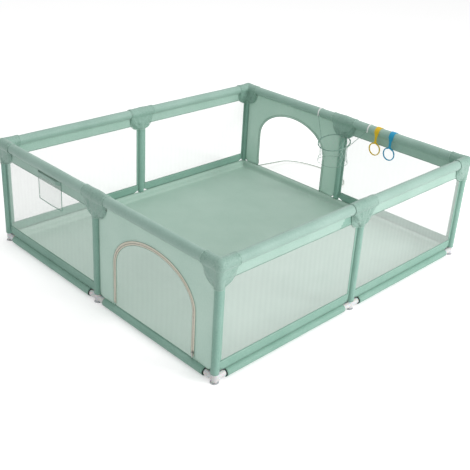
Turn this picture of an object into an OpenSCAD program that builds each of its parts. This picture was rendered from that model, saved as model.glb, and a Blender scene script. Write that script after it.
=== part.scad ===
// Large square-cornered fabric and mesh playpen on a push-fit tube frame.
// +Z is up, the ground is z = 0 and the origin is under the middle of the floor mat.
// Sides: front faces -Y, right faces +X, back faces +Y, left faces -X.

/* [Overall] */
// Distance between corner post axes along the front and back sides
pen_length = 2000; // [1700:10:2500]
// Distance between corner post axes along the left and right sides
pen_width = 1820; // [1700:10:2300]
// Height of the top rail axis above the ground
rail_height = 617; // [600:1:760]

/* [Frame tubes] */
// Outer diameter of every steel tube
tube_od = 25; // [19:0.5:28]
// Wall of every steel tube
tube_wall = 1; // [0.8:0.1:2]
// Height of the base rail axis above the ground
base_rail_height = 26; // [25:1:36]
// Wall of the plastic around a tube in a connector
socket_wall = 4; // [3:0.5:5]
// Length of a base connector socket arm from the post axis
socket_reach = 60; // [50:1:70]
// Length of a top connector spigot inside its tube
spigot_length = 40; // [30:1:50]

/* [Feet] */
// Diameter of a suction cup at the ground
cup_od = 44; // [36:1:45]
// Height from the ground to the underside of a base connector
cup_height = 8; // [7:0.5:9]

/* [Padding] */
// Outer diameter of the foam on the top rails
pad_od = 54; // [44:1:74]
// Thickness of the floor mat
mat_thickness = 6; // [4:1:16]
// Radius of the floor mat's corners
mat_corner = 30; // [10:1:60]

/* [Fabric] */
// Thickness of the rail covers
cover_wall = 2; // [1.5:0.1:3]
// Outer diameter of the padded post sleeves
post_sleeve_od = 42; // [38:1:46]
// Width of the binding that edges each window beside a post
binding_width = 15; // [10:1:25]
// Thickness of the binding and of the sewn bands
band_thickness = 3; // [2:0.1:4]
// Height of the band between a rail cover and the window under it
top_band_height = 55; // [30:1:70]
// Height of the top edge of the base band above the ground
base_band_top = 105; // [90:1:130]
// Outer diameter of the fabric sleeve round a base rail
base_sleeve_od = 46; // [42:1:46]
// Wall of that sleeve
base_sleeve_wall = 1.6; // [1.2:0.1:2.5]
// Distance from a post axis to the end of a base sleeve
base_sleeve_start = 64; // [62:1:100]
// Thickness of the window mesh
mesh_thickness = 1.2; // [1:0.1:2]

/* [Corner and middle caps] */
// Reach of a corner cap along each rail
corner_cap_reach = 102; // [90:1:140]
// Reach of a middle cap along each rail
middle_cap_reach = 95; // [80:1:130]
// Height of the lower hem of the caps above the ground
cap_hem_height = 502; // [480:1:515]
// Wall of the caps
cap_wall = 1.6; // [1.2:0.1:2.5]

/* [Doors] */
// Clear width of an arched doorway
door_width = 600; // [540:5:680]
// Height where the arch of a doorway springs from its straight sides
door_spring_height = 300; // [250:5:330]
// Rise of the arch above that height
door_rise = 200; // [180:1:230]
// Thickness of the fabric panel round a doorway
panel_thickness = 2; // [1.5:0.1:3]
// Radius of a door panel's lower corners
panel_corner = 30; // [20:1:45]
// Width of the zip tape on each side of the parting line
zip_tape_width = 12; // [10:0.5:16]
// Thickness of the zip tape
zip_tape_thickness = 2; // [1.5:0.1:2.5]
// Height of the zip slider's pull pin when the slider is parked
zip_park_height = 88; // [86:1:110]
// Length of the zip's pull tab
zip_tab_length = 28; // [20:1:32]

/* [Storage pocket] */
// Width of the pocket
pocket_width = 222; // [180:2:260]
// Height of the pocket
pocket_height = 174; // [120:2:200]
// Depth of the pocket
pocket_depth = 26; // [20:1:32]
// Distance from the left back corner post to the pocket's middle
pocket_place = 486; // [420:1:600]

/* [Pull rings] */
// Width of a pull ring
pull_ring_width = 86; // [70:1:96]
// Thickness of a pull ring's bar
pull_ring_bar = 6; // [5:0.5:8]
// Distance from the right middle post to the yellow ring
yellow_ring_place = 280; // [240:1:300]
// Distance from the right middle post to the blue ring
blue_ring_place = 392; // [370:1:480]
// Drop from the rail axis to the pin that a pull ring hangs on
pull_ring_drop = 69; // [60:1:90]

/* [Hoop] */
// Diameter of the hoop at the middle of its bar
hoop_diameter = 210; // [180:2:216]
// Diameter of the hoop's bar
hoop_bar = 7; // [6:0.5:9]
// Drop from the rail axis to the middle of the hoop
hoop_drop = 118; // [100:1:130]
// Tilt of the hoop, its inner edge down
hoop_tilt = 14; // [8:1:18]
// Sideways distance from the middle post to the hoop's middle
hoop_offset = -30; // [-40:1:40]
// Height of the hoop's net
net_height = 140; // [100:1:180]
// Distance between the two hoop hooks
hook_spacing = 416; // [380:1:440]
// Diameter of the hoop's cords
cord_diameter = 3.5; // [3:0.5:5]

/* [Clearances] */
// Radial clearance of a push fit or running fit
fit_gap = 0.05; // [0.02:0.01:0.1]
// Gap between soft pieces that lie against each other
soft_gap = 0.3; // [0.2:0.1:0.4]
// Gap round a piece that swings
swing_gap = 0.7; // [0.5:0.1:1]

/* [Hidden] */
$fn = 48;

// Side numbers, counted anticlockwise from above; bay 0 of a side starts at its first corner
FRONT = 0;
RIGHT = 1;
BACK = 2;
LEFT = 3;
SIDES = [FRONT, RIGHT, BACK, LEFT];
DOOR_SIDES = [RIGHT, LEFT];
MESH_BAY = 0;
DOOR_BAY = 1;

STEEL = "#B9BCBE";
DARK_PLASTIC = "#4A4D4E";
CLEAR_PLASTIC = "#E4E2E4";
FOAM = "#D9DAD6";
GREEN = "#ABC9B8";
GREEN_DARK = "#86AC9A";
MESH = "#DCE6DF";
CREAM = "#E3DFCB";
YELLOW = "#E2BE23";
BLUE = "#1EA5C8";
WHITE = "#F2F4F2";

tube_r = tube_od / 2;
tube_inner_r = tube_r - tube_wall;
socket_r = tube_r + socket_wall;
spigot_r = tube_inner_r - fit_gap;
collar_r = tube_r + 2.5;
collar_reach = 30;
base_tube_start = tube_r + 7.5;
post_foot = base_tube_start;
post_top = rail_height - collar_reach;
socket_top = base_rail_height + socket_r + 7;

pad_r = pad_od / 2;
cover_inner_r = pad_r + soft_gap;
cover_r = cover_inner_r + cover_wall;
cover_start = cover_r + 1.7;
pad_start = cover_start + 2;
top_height = rail_height + cover_r;

sleeve_r = post_sleeve_od / 2;
sleeve_bore_r = tube_r + soft_gap;
sleeve_bottom = socket_top + 0.5;
sleeve_top = post_top - 2;
band_start = sleeve_r + soft_gap;
binding_end = sleeve_r + binding_width;
window_start = binding_end + soft_gap;
top_band_bottom = rail_height - cover_r - top_band_height;

base_sleeve_r = base_sleeve_od / 2;
base_sleeve_top = base_rail_height + base_sleeve_r;
notch_height = 16;
notch_width = 38;

cap_inner_r = cover_r + 0.4;
cap_r = cap_inner_r + cap_wall;
stem_inner_r = sleeve_r + 0.4;
stem_r = stem_inner_r + cap_wall;
skirt_inner_half = 5;
skirt_half = skirt_inner_half + cap_wall;

panel_bottom = base_sleeve_top + 0.2;
panel_top = rail_height - cover_r - soft_gap;
hinge_height = base_sleeve_top + 1.4;
flap_bottom = hinge_height - mesh_thickness / 2;
flap_top = door_spring_height + door_rise - swing_gap;
tape_bottom = hinge_height + 14;
flap_open_angle = 90 + asin((hinge_height - mesh_thickness / 2 - zip_tape_thickness - 1)
                            / (flap_top - hinge_height));
ARCH_STEPS = 40;

slider_width = 10;
slider_height = 14;
slider_depth = 4;
slider_offset = zip_tape_width / 2 + swing_gap / 2 + 0.5;
slider_back = panel_thickness / 2 + zip_tape_thickness + 0.1;
ear_thickness = 1.5;
ear_gap = 0.3;
pin_r = 1.2;
eye_r = 2.6;
pin_out = slider_back + slider_depth + eye_r;

pocket_wall = 1.5;
pocket_top = rail_height - cover_r - 3;

strap_width = 34;
strap_tail_width = 16;
strap_thickness = 2.5;
strap_inner_r = cover_r + 0.4;
strap_mid_r = strap_inner_r + strap_thickness / 2;
ring_pin_r = pull_ring_bar / 2;
ring_eye_r = ring_pin_r + fit_gap + 2.5;
ring_neck = 22;
ring_lobe_r = pull_ring_width / 2;
ring_lobe_drop = 40;

hook_width = 8;
hook_thickness = 3.5;
hook_mid_r = strap_inner_r + hook_thickness / 2;
peg_r = 2.5;
peg_length = 10;
peg_drop = 16;
loop_r = peg_r + fit_gap + 2;
loop_length = 5;
knot_r = 3;
hoop_r = hoop_diameter / 2;
hoop_inset = hoop_r * cos(hoop_tilt) + hoop_bar / 2 + stem_r + 3;
net_wall = 1.2;
net_r = hoop_r * cos(hoop_tilt) - 0.5;

// Length of a side between its corner post axes, and of one of its two bays
function side_length(side) = side % 2 == 0 ? pen_length : pen_width;
function bay_length(side) = side_length(side) / 2;
function has_door(side) = side == RIGHT || side == LEFT;

// Outline of an arched doorway grown by a margin, from its foot height up
function arch_points(margin, foot) = concat(
  [[door_width / 2 + margin, foot]],
  [for (step = [0:ARCH_STEPS])
    let (angle = 180 * step / ARCH_STEPS)
    [(door_width / 2 + margin) * cos(angle), door_spring_height + (door_rise + margin) * sin(angle)]],
  [[-door_width / 2 - margin, foot]]
);

// Quarter arc for a rounded corner, from one angle to the next 90 degrees on
function corner_arc(centre, radius, start_angle) = [
  for (step = [0:8])
    centre + radius * [cos(start_angle + step * 11.25), sin(start_angle + step * 11.25)]
];

// Outline of a pull ring: a round lobe that narrows to a neck at the top
function teardrop(lobe_r, neck, top) = concat(
  [[neck / 2, top]],
  [for (angle = [45:-7.5:-225]) [lobe_r * cos(angle), lobe_r * sin(angle) - ring_lobe_drop]],
  [[-neck / 2, top]]
);

// Puts a side's start corner at the origin with the side along +X and its outer face to -Y
module on_side(side) {
  corner_x = side == FRONT || side == LEFT ? -1 : 1;
  corner_y = side == FRONT || side == RIGHT ? -1 : 1;
  translate([corner_x * pen_length / 2, corner_y * pen_width / 2, 0])
    rotate([0, 0, 90 * side])
      children();
}

// Puts the children in a bay of a side
module in_bay(side, bay) {
  on_side(side)
    translate([bay * bay_length(side), 0, 0])
      children();
}

// Lays a cylinder along +X
module along_x(length) {
  rotate([0, 90, 0])
    linear_extrude(length)
      children();
}

// Stands an outline drawn in length and height up in the plane of a side
module upright(thickness, outer_face) {
  translate([0, outer_face + thickness, 0])
    rotate([90, 0, 0])
      linear_extrude(thickness)
        children();
}

module ring_section(outer_r, inner_r) {
  difference() {
    circle(r = outer_r);
    circle(r = inner_r);
  }
}

// ---- frame ----

module post_tube() {
  translate([0, 0, post_foot])
    linear_extrude(post_top - post_foot)
      ring_section(tube_r, tube_inner_r);
}

module corner_post(side) {
  color(STEEL) on_side(side) post_tube();
}

module middle_posts() {
  color(STEEL)
    for (side = SIDES)
      in_bay(side, 1) post_tube();
}

module rail_tubes(side, height, start) {
  for (bay = [0, 1])
    in_bay(side, bay)
      translate([start, 0, height])
        along_x(bay_length(side) - 2 * start)
          ring_section(tube_r, tube_inner_r);
}

module top_rails(side) {
  color(STEEL) rail_tubes(side, rail_height, collar_reach);
}

module base_rails(side) {
  color(STEEL) rail_tubes(side, base_rail_height, base_tube_start);
}

module rail_pads(side) {
  color(FOAM)
    for (bay = [0, 1])
      in_bay(side, bay)
        translate([pad_start, 0, rail_height])
          along_x(bay_length(side) - 2 * pad_start)
            ring_section(pad_r, tube_r + soft_gap);
}

// Arm of a top connector: a collar that the tube butts on, then a spigot inside it
module spigot_arm() {
  along_x(collar_reach) circle(r = collar_r);
  along_x(collar_reach + spigot_length) circle(r = spigot_r);
}

module top_connector(arm_angles) {
  translate([0, 0, rail_height]) {
    for (angle = arm_angles)
      rotate([0, 0, angle]) spigot_arm();
    rotate([0, 90, 0]) spigot_arm();
    sphere(r = collar_r + 0.6);
  }
}

module corner_connectors() {
  color(DARK_PLASTIC)
    for (side = SIDES)
      on_side(side) top_connector([0, 90]);
}

module tee_connectors() {
  color(DARK_PLASTIC)
    for (side = SIDES)
      in_bay(side, 1) top_connector([0, 180]);
}

// Base connector with a socket for the post, one per base rail, and a stud hole below
module base_connector(arm_angles) {
  difference() {
    union() {
      translate([0, 0, cup_height]) cylinder(r = socket_r, h = socket_top - cup_height);
      for (angle = arm_angles)
        rotate([0, 0, angle])
          translate([0, 0, base_rail_height]) along_x(socket_reach) circle(r = socket_r);
    }
    translate([0, 0, post_foot]) cylinder(r = tube_r + fit_gap, h = socket_top);
    for (angle = arm_angles)
      rotate([0, 0, angle])
        translate([base_tube_start, 0, base_rail_height])
          along_x(socket_reach) circle(r = tube_r + fit_gap);
    translate([0, 0, cup_height - 1]) cylinder(r = 5 + fit_gap, h = 10);
  }
}

module base_corner_connectors() {
  color(CLEAR_PLASTIC)
    for (side = SIDES)
      on_side(side) base_connector([0, 90]);
}

module base_tee_connectors() {
  color(CLEAR_PLASTIC)
    for (side = SIDES)
      in_bay(side, 1) base_connector([0, 180]);
}

// Suction cup with a stud that pushes into its base connector
module suction_foot() {
  rotate_extrude()
    polygon([
      [0, 4], [5, 4], [cup_od / 2 - 3, 0], [cup_od / 2, 0], [cup_od / 2 - 1, 1.5],
      [10, cup_height - 2], [8, cup_height], [5, cup_height], [5, cup_height + 8.5], [0, cup_height + 8.5]
    ]);
}

module suction_feet() {
  color(CLEAR_PLASTIC)
    for (side = SIDES, bay = [0, 1])
      in_bay(side, bay) suction_foot();
}

// ---- fabric surround ----

module rail_covers(side) {
  color(GREEN_DARK)
    for (bay = [0, 1])
      in_bay(side, bay) {
        translate([cover_start, 0, rail_height])
          along_x(bay_length(side) - 2 * cover_start)
            ring_section(cover_r, cover_inner_r);
        if (!(has_door(side) && bay == DOOR_BAY))
          translate([band_start, -band_thickness / 2, top_band_bottom])
            cube([bay_length(side) - 2 * band_start, band_thickness, top_band_height - soft_gap]);
      }
}

// Strip on top of a base sleeve, cut back beside the posts
module base_band(side) {
  length = bay_length(side);
  foot = base_sleeve_top + soft_gap;
  upright(band_thickness, -band_thickness / 2)
    polygon([
      [band_start, foot + notch_height],
      [band_start + notch_width, foot],
      [length - band_start - notch_width, foot],
      [length - band_start, foot + notch_height],
      [length - band_start, base_band_top],
      [band_start, base_band_top]
    ]);
}

module base_sleeves(side) {
  color(GREEN)
    for (bay = [0, 1])
      in_bay(side, bay) {
        translate([base_sleeve_start, 0, base_rail_height])
          along_x(bay_length(side) - 2 * base_sleeve_start)
            ring_section(base_sleeve_r, base_sleeve_r - base_sleeve_wall);
        if (!(has_door(side) && bay == DOOR_BAY)) base_band(side);
      }
}

// Padded tube on a post, with a binding strip towards each window beside it
module post_sleeve(binding_angles) {
  difference() {
    union() {
      translate([0, 0, sleeve_bottom]) cylinder(r = sleeve_r, h = sleeve_top - sleeve_bottom);
      for (angle = binding_angles)
        rotate([0, 0, angle])
          translate([sleeve_r - 1, -band_thickness / 2, base_band_top + soft_gap])
            cube([binding_width + 1, band_thickness, top_band_bottom - base_band_top - 2 * soft_gap]);
    }
    translate([0, 0, sleeve_bottom - 1]) cylinder(r = sleeve_bore_r, h = sleeve_top);
  }
}

// The last bay before a corner is a door on the right and left sides
module corner_post_sleeves() {
  color(GREEN)
    for (side = SIDES)
      on_side(side) post_sleeve(has_door((side + 3) % 4) ? [0] : [0, 90]);
}

module middle_post_sleeves() {
  color(GREEN)
    for (side = SIDES)
      in_bay(side, 1) post_sleeve(has_door(side) ? [180] : [0, 180]);
}

// Solid envelope of a cap: rail arms, a skirt under each and a stem round the post
module cap_envelope(arm_angles, arm_reach, arm_r, stem, half, skirt, hem) {
  for (angle = arm_angles)
    rotate([0, 0, angle]) {
      translate([0, 0, rail_height]) along_x(arm_reach) circle(r = arm_r);
      upright(2 * half, -half) polygon(skirt);
    }
  translate([0, 0, hem]) cylinder(r = stem, h = rail_height - hem);
}

module corner_cap() {
  skirt = [
    [0, cap_hem_height], [stem_r + 2, cap_hem_height], [corner_cap_reach - 38, cap_hem_height + 20],
    [corner_cap_reach - 12, cap_hem_height + 48], [corner_cap_reach, rail_height - cover_r],
    [corner_cap_reach, rail_height], [0, rail_height]
  ];
  inner_skirt = [
    [0, cap_hem_height - 1], [corner_cap_reach + 1, cap_hem_height - 1],
    [corner_cap_reach + 1, rail_height], [0, rail_height]
  ];
  difference() {
    union() {
      cap_envelope([0, 90], corner_cap_reach, cap_r, stem_r, skirt_half, skirt, cap_hem_height);
      translate([0, 0, rail_height]) sphere(r = cap_r + 0.5);
    }
    cap_envelope([0, 90], corner_cap_reach + 1, cap_inner_r, stem_inner_r, skirt_inner_half,
                 inner_skirt, cap_hem_height - 1);
    translate([0, 0, rail_height]) sphere(r = cap_inner_r + 0.5);
  }
}

module middle_cap() {
  skirt = [
    [0, cap_hem_height], [stem_r + 1, cap_hem_height], [middle_cap_reach - 34, cap_hem_height + 42],
    [middle_cap_reach, rail_height - cover_r], [middle_cap_reach, rail_height], [0, rail_height]
  ];
  inner_skirt = [
    [0, cap_hem_height - 1], [middle_cap_reach + 1, cap_hem_height - 1],
    [middle_cap_reach + 1, rail_height], [0, rail_height]
  ];
  difference() {
    cap_envelope([0, 180], middle_cap_reach, cap_r, stem_r, skirt_half, skirt, cap_hem_height);
    cap_envelope([0, 180], middle_cap_reach + 1, cap_inner_r, stem_inner_r, skirt_inner_half,
                 inner_skirt, cap_hem_height - 1);
  }
}

module corner_caps() {
  color(GREEN_DARK)
    for (side = SIDES)
      on_side(side) corner_cap();
}

module middle_caps() {
  color(GREEN_DARK)
    for (side = SIDES)
      in_bay(side, 1) middle_cap();
}

module window(side, bay) {
  in_bay(side, bay)
    translate([window_start, -mesh_thickness / 2, base_band_top])
      cube([bay_length(side) - 2 * window_start, mesh_thickness, top_band_bottom - base_band_top]);
}

module windows(side, bays) {
  color(MESH)
    for (bay = bays)
      window(side, bay);
}

// ---- doors ----

// Puts the children at the middle of a side's doorway
module in_doorway(side) {
  in_bay(side, DOOR_BAY)
    translate([bay_length(side) / 2, 0, 0])
      children();
}

module door_panel(side) {
  half = bay_length(side) / 2 - band_start;
  outline = concat(
    corner_arc([-half + panel_corner, panel_bottom + panel_corner], panel_corner, 180),
    corner_arc([half - panel_corner, panel_bottom + panel_corner], panel_corner, 270),
    [[half, panel_top], [-half, panel_top]]
  );
  color(GREEN)
    in_doorway(side)
      upright(panel_thickness, -panel_thickness / 2)
        difference() {
          polygon(outline);
          polygon(arch_points(0, panel_bottom - 1));
        }
}

// Tape between two margins of the doorway's arch
module arch_tape(outer_margin, inner_margin, foot, outer_face) {
  upright(zip_tape_thickness, outer_face - zip_tape_thickness)
    difference() {
      polygon(arch_points(outer_margin, foot));
      polygon(arch_points(inner_margin, foot - 1));
    }
}

module door_zip(side) {
  color(CREAM)
    in_doorway(side)
      arch_tape(zip_tape_width, 0, tape_bottom, -panel_thickness / 2);
}

// Turns a closed flap outwards about its hinge line along the doorway's foot
module swung(angle) {
  translate([0, 0, hinge_height])
    rotate([angle, 0, 0])
      translate([0, 0, -hinge_height])
        children();
}

module door_flap(side, angle) {
  color(MESH)
    in_doorway(side)
      swung(angle)
        upright(mesh_thickness, -mesh_thickness / 2)
          polygon(arch_points(-swing_gap, flap_bottom));
}

module flap_zip(side, angle) {
  color(CREAM)
    in_doorway(side)
      swung(angle)
        arch_tape(-swing_gap, -zip_tape_width, tape_bottom, -mesh_thickness / 2);
}

// Puts the children at the parked slider's pull pin, which runs along X
module at_slider(side) {
  in_doorway(side)
    translate([door_width / 2 + slider_offset, -pin_out, zip_park_height])
      children();
}

module zip_slider(side) {
  body_gap = pin_out - slider_back - slider_depth;
  color(STEEL)
    at_slider(side) {
      translate([-slider_width / 2, body_gap, -slider_height / 2])
        cube([slider_width, slider_depth, slider_height]);
      for (end = [-1, 1])
        translate([end * (slider_width - ear_thickness) / 2 - ear_thickness / 2, -eye_r, -eye_r])
          cube([ear_thickness, 2 * eye_r + 0.2, 2 * eye_r]);
      translate([-slider_width / 2, 0, 0])
        along_x(slider_width) circle(r = pin_r);
    }
}

module zip_tab(side) {
  width = slider_width - 2 * (ear_thickness + ear_gap);
  plate = 1.6;
  color(STEEL)
    at_slider(side)
      difference() {
        union() {
          translate([-width / 2, 0, 0]) along_x(width) circle(r = eye_r - 0.2);
          translate([-width / 2, -plate / 2, -zip_tab_length])
            cube([width, plate, zip_tab_length]);
        }
        translate([-width, 0, 0]) along_x(2 * width) circle(r = pin_r + fit_gap);
      }
}

// ---- storage pocket and floor mat ----

// Open-topped mesh pouch on the outside of the left window
module storage_pocket() {
  back = -mesh_thickness / 2;
  bottom = pocket_top - pocket_height;
  color(MESH)
    in_bay(LEFT, MESH_BAY)
      translate([pocket_place, back - pocket_depth, bottom])
        difference() {
          translate([-pocket_width / 2, 0, 0]) cube([pocket_width, pocket_depth, pocket_height]);
          translate([-pocket_width / 2 + pocket_wall, pocket_wall, pocket_wall])
            cube([pocket_width - 2 * pocket_wall, pocket_depth, pocket_height]);
          translate([-pocket_width, pocket_depth - band_thickness / 2 - soft_gap,
                     top_band_bottom - bottom])
            cube([2 * pocket_width, band_thickness, pocket_height]);
        }
}

module floor_mat() {
  half_length = pen_length / 2 - cup_od / 2 - soft_gap;
  half_width = pen_width / 2 - cup_od / 2 - soft_gap;
  inner = [half_length - mat_corner, half_width - mat_corner];
  color(GREEN)
    linear_extrude(mat_thickness)
      polygon(concat(
        corner_arc([inner.x, inner.y], mat_corner, 0),
        corner_arc([-inner.x, inner.y], mat_corner, 90),
        corner_arc([-inner.x, -inner.y], mat_corner, 180),
        corner_arc([inner.x, -inner.y], mat_corner, 270)
      ));
}

// ---- pull rings ----

// Puts the children on the right rail's axis, a distance in front of its middle post
module on_right_rail(place) {
  in_bay(RIGHT, 1)
    translate([-place, 0, rail_height])
      children();
}

// Band over the rail from its inner side, across the top and down the outer side
module rail_clip(width, thickness, outer_angle) {
  translate([-width / 2, 0, 0])
    rotate([0, 90, 0])
      rotate([0, 0, 90])
        rotate_extrude(angle = 180 + outer_angle)
          translate([strap_inner_r, 0])
            square([thickness, width]);
}

module pull_strap(place, tint) {
  color(tint)
    on_right_rail(place)
      difference() {
        union() {
          rail_clip(strap_width, strap_thickness, 30);
          translate([0, strap_inner_r + strap_thickness, 0])
            rotate([90, 0, 0])
              linear_extrude(strap_thickness)
                polygon([
                  [-strap_width / 2, 0], [-strap_tail_width / 2, -cover_r],
                  [-strap_tail_width / 2, -pull_ring_drop], [strap_tail_width / 2, -pull_ring_drop],
                  [strap_tail_width / 2, -cover_r], [strap_width / 2, 0]
                ]);
          translate([-strap_tail_width / 2, strap_mid_r, -pull_ring_drop])
            along_x(strap_tail_width) circle(r = ring_eye_r);
        }
        translate([-strap_width, strap_mid_r, -pull_ring_drop])
          along_x(2 * strap_width) circle(r = ring_pin_r + fit_gap);
      }
}

module pull_ring(place, tint) {
  slot = strap_tail_width + 1;
  color(tint)
    on_right_rail(place)
      translate([0, strap_mid_r, -pull_ring_drop]) {
        difference() {
          translate([0, ring_pin_r, 0])
            rotate([90, 0, 0])
              linear_extrude(pull_ring_bar)
                difference() {
                  polygon(teardrop(ring_lobe_r, ring_neck, ring_pin_r));
                  polygon(teardrop(ring_lobe_r - pull_ring_bar, ring_neck - 8, -ring_pin_r - 3));
                }
          translate([-slot / 2, -pull_ring_bar, -ring_eye_r - 1])
            cube([slot, 2 * pull_ring_bar, 2 * ring_eye_r + 2]);
        }
        translate([-ring_neck / 2, 0, 0]) along_x(ring_neck) circle(r = ring_pin_r);
      }
}

// ---- hoop ----

// Hook over the rail with a peg towards the hoop; end is -1 or 1 along the rail
module hoop_hook(end) {
  on_right_rail(-end * hook_spacing / 2) {
    rail_clip(hook_width, hook_thickness, 20);
    translate([-hook_width / 2, strap_inner_r, -peg_drop - peg_r])
      cube([hook_width, hook_thickness, peg_drop + peg_r]);
    translate([end > 0 ? -hook_width / 2 - peg_length : hook_width / 2, hook_mid_r, -peg_drop])
      along_x(peg_length) circle(r = peg_r);
  }
}

module hoop_hooks() {
  color(WHITE)
    for (end = [-1, 1])
      hoop_hook(end);
}

// Cylinder between two points
module rod(start, finish, radius) {
  run = finish - start;
  translate(start)
    rotate([0, acos(run.z / norm(run)), atan2(run.y, run.x)])
      cylinder(r = radius, h = norm(run));
}

// Cord from its loop on a hook's peg to the side of the hoop
module hoop_cord(end) {
  peg_x = end * (hook_spacing / 2 - hook_width / 2 - peg_length / 2);
  knot = [hoop_offset + end * (hoop_r + hoop_bar / 2 + soft_gap + knot_r), hoop_inset, -hoop_drop];
  on_right_rail(0) {
    difference() {
      union() {
        translate([peg_x - loop_length / 2, hook_mid_r, -peg_drop])
          along_x(loop_length) circle(r = loop_r);
        rod([peg_x, hook_mid_r, -peg_drop], knot, cord_diameter / 2);
        translate(knot) sphere(r = knot_r);
      }
      translate([peg_x - loop_length, hook_mid_r, -peg_drop])
        along_x(2 * loop_length) circle(r = peg_r + fit_gap);
    }
  }
}

module hoop_cords() {
  color(GREEN_DARK)
    for (end = [-1, 1])
      hoop_cord(end);
}

// Puts the children at the hoop's middle, in its tilted plane if tilt is given
module at_hoop(tilt) {
  on_right_rail(0)
    translate([hoop_offset, hoop_inset, -hoop_drop])
      rotate([-tilt, 0, 0])
        children();
}

module hoop_ring() {
  color(GREEN_DARK)
    at_hoop(hoop_tilt)
      rotate_extrude()
        translate([hoop_r, 0]) circle(d = hoop_bar);
}

// Straight net under the hoop, its top cut to the hoop's tilt
module hoop_net() {
  reach = 2 * hoop_r;
  color(MESH)
    difference() {
      at_hoop(0)
        translate([0, 0, -net_height])
          linear_extrude(2 * net_height)
            ring_section(net_r, net_r - net_wall);
      at_hoop(hoop_tilt)
        translate([-reach, -reach, -hoop_bar / 2 - soft_gap])
          cube([2 * reach, 2 * reach, 3 * net_height]);
    }
}

corner_post(FRONT);  // post_front_left
corner_post(RIGHT);  // post_front_right
corner_post(BACK);  // post_back_right
corner_post(LEFT);  // post_back_left
middle_posts();
top_rails(FRONT);  // top_rails_front
top_rails(RIGHT);  // top_rails_right
top_rails(BACK);  // top_rails_back
top_rails(LEFT);  // top_rails_left
base_rails(FRONT);  // base_rails_front
base_rails(RIGHT);  // base_rails_right
base_rails(BACK);  // base_rails_back
base_rails(LEFT);  // base_rails_left
rail_pads(FRONT);  // rail_pads_front
rail_pads(RIGHT);  // rail_pads_right
rail_pads(BACK);  // rail_pads_back
rail_pads(LEFT);  // rail_pads_left
corner_connectors();
tee_connectors();
base_corner_connectors();
base_tee_connectors();
suction_feet();
rail_covers(FRONT);  // rail_covers_front
rail_covers(RIGHT);  // rail_covers_right
rail_covers(BACK);  // rail_covers_back
rail_covers(LEFT);  // rail_covers_left
base_sleeves(FRONT);  // base_sleeves_front
base_sleeves(RIGHT);  // base_sleeves_right
base_sleeves(BACK);  // base_sleeves_back
base_sleeves(LEFT);  // base_sleeves_left
corner_post_sleeves();
middle_post_sleeves();
corner_caps();
middle_caps();
windows(FRONT, [0, 1]);  // windows_front
windows(BACK, [0, 1]);  // windows_back
windows(RIGHT, [MESH_BAY]);  // window_right
windows(LEFT, [MESH_BAY]);  // window_left
door_panel(LEFT);  // door_panel_left
door_panel(RIGHT);  // door_panel_right
door_flap(LEFT, 0);  // door_flap_left
door_flap(RIGHT, flap_open_angle);  // door_flap_right
door_zip(LEFT);  // door_zip_left
door_zip(RIGHT);  // door_zip_right
flap_zip(LEFT, 0);  // flap_zip_left
flap_zip(RIGHT, flap_open_angle);  // flap_zip_right
zip_slider(LEFT);  // zip_slider_left
zip_slider(RIGHT);  // zip_slider_right
zip_tab(LEFT);  // zip_tab_left
zip_tab(RIGHT);  // zip_tab_right
storage_pocket();
floor_mat();
pull_strap(yellow_ring_place, YELLOW);  // pull_strap_yellow
pull_strap(blue_ring_place, BLUE);  // pull_strap_blue
pull_ring(yellow_ring_place, YELLOW);  // pull_ring_yellow
pull_ring(blue_ring_place, BLUE);  // pull_ring_blue
hoop_hooks();
hoop_cords();
hoop_ring();
hoop_net();
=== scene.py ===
"""Looks for a large fabric playpen: padded rails, sheer mesh sides, two arched zip doors."""

from math import atan2, cos, pi, radians, sin, sqrt

import bmesh
import bpy
import numpy as np
from mathutils import Matrix, Vector, noise


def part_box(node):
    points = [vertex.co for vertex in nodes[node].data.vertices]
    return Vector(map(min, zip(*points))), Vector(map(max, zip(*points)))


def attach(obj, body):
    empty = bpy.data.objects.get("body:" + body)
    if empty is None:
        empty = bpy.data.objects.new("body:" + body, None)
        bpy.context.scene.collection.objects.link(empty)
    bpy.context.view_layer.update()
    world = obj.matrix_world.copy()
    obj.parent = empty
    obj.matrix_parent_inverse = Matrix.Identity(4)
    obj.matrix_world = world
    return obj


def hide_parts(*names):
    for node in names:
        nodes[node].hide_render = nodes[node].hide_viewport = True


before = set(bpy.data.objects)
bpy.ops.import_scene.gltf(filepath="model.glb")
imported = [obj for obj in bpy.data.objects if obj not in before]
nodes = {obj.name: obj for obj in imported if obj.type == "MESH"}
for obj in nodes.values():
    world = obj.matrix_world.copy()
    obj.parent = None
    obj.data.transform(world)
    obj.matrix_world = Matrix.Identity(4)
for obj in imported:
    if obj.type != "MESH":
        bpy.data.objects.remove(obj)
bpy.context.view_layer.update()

MM = 0.001
FRONT, RIGHT, BACK, LEFT = SIDES = range(4)
SIDE_NAMES = ("front", "right", "back", "left")
CORNER_POSTS = ("post_front_left", "post_front_right", "post_back_right", "post_back_left")
DOOR_BAY = 1

# Sizes of the fabric surround, in millimetres
RAIL_HEIGHT = 617.0
COVER_R = 29.3
COVER_START = 31.0
BAND_START = 21.3
BAND_HALF = 1.5
TOP_BAND_FOOT = 532.7
BASE_RAIL_HEIGHT = 26.0
BASE_SLEEVE_R = 23.0
BASE_SLEEVE_START = 64.0
BASE_SLEEVE_WALL = 1.4
BASE_BAND_FOOT = 49.3
BASE_BAND_TOP = 105.0
NOTCH_WIDTH, NOTCH_HEIGHT = 38.0, 16.0
POST_SLEEVE_R = 21.0
POST_SLEEVE_FOOT, POST_SLEEVE_TOP = 50.0, 585.0
BINDING_END = 36.0
WINDOW_START = 36.3
CAP_HEM = 502.0
CORNER_REACH, MIDDLE_REACH = 102.0, 95.0

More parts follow.
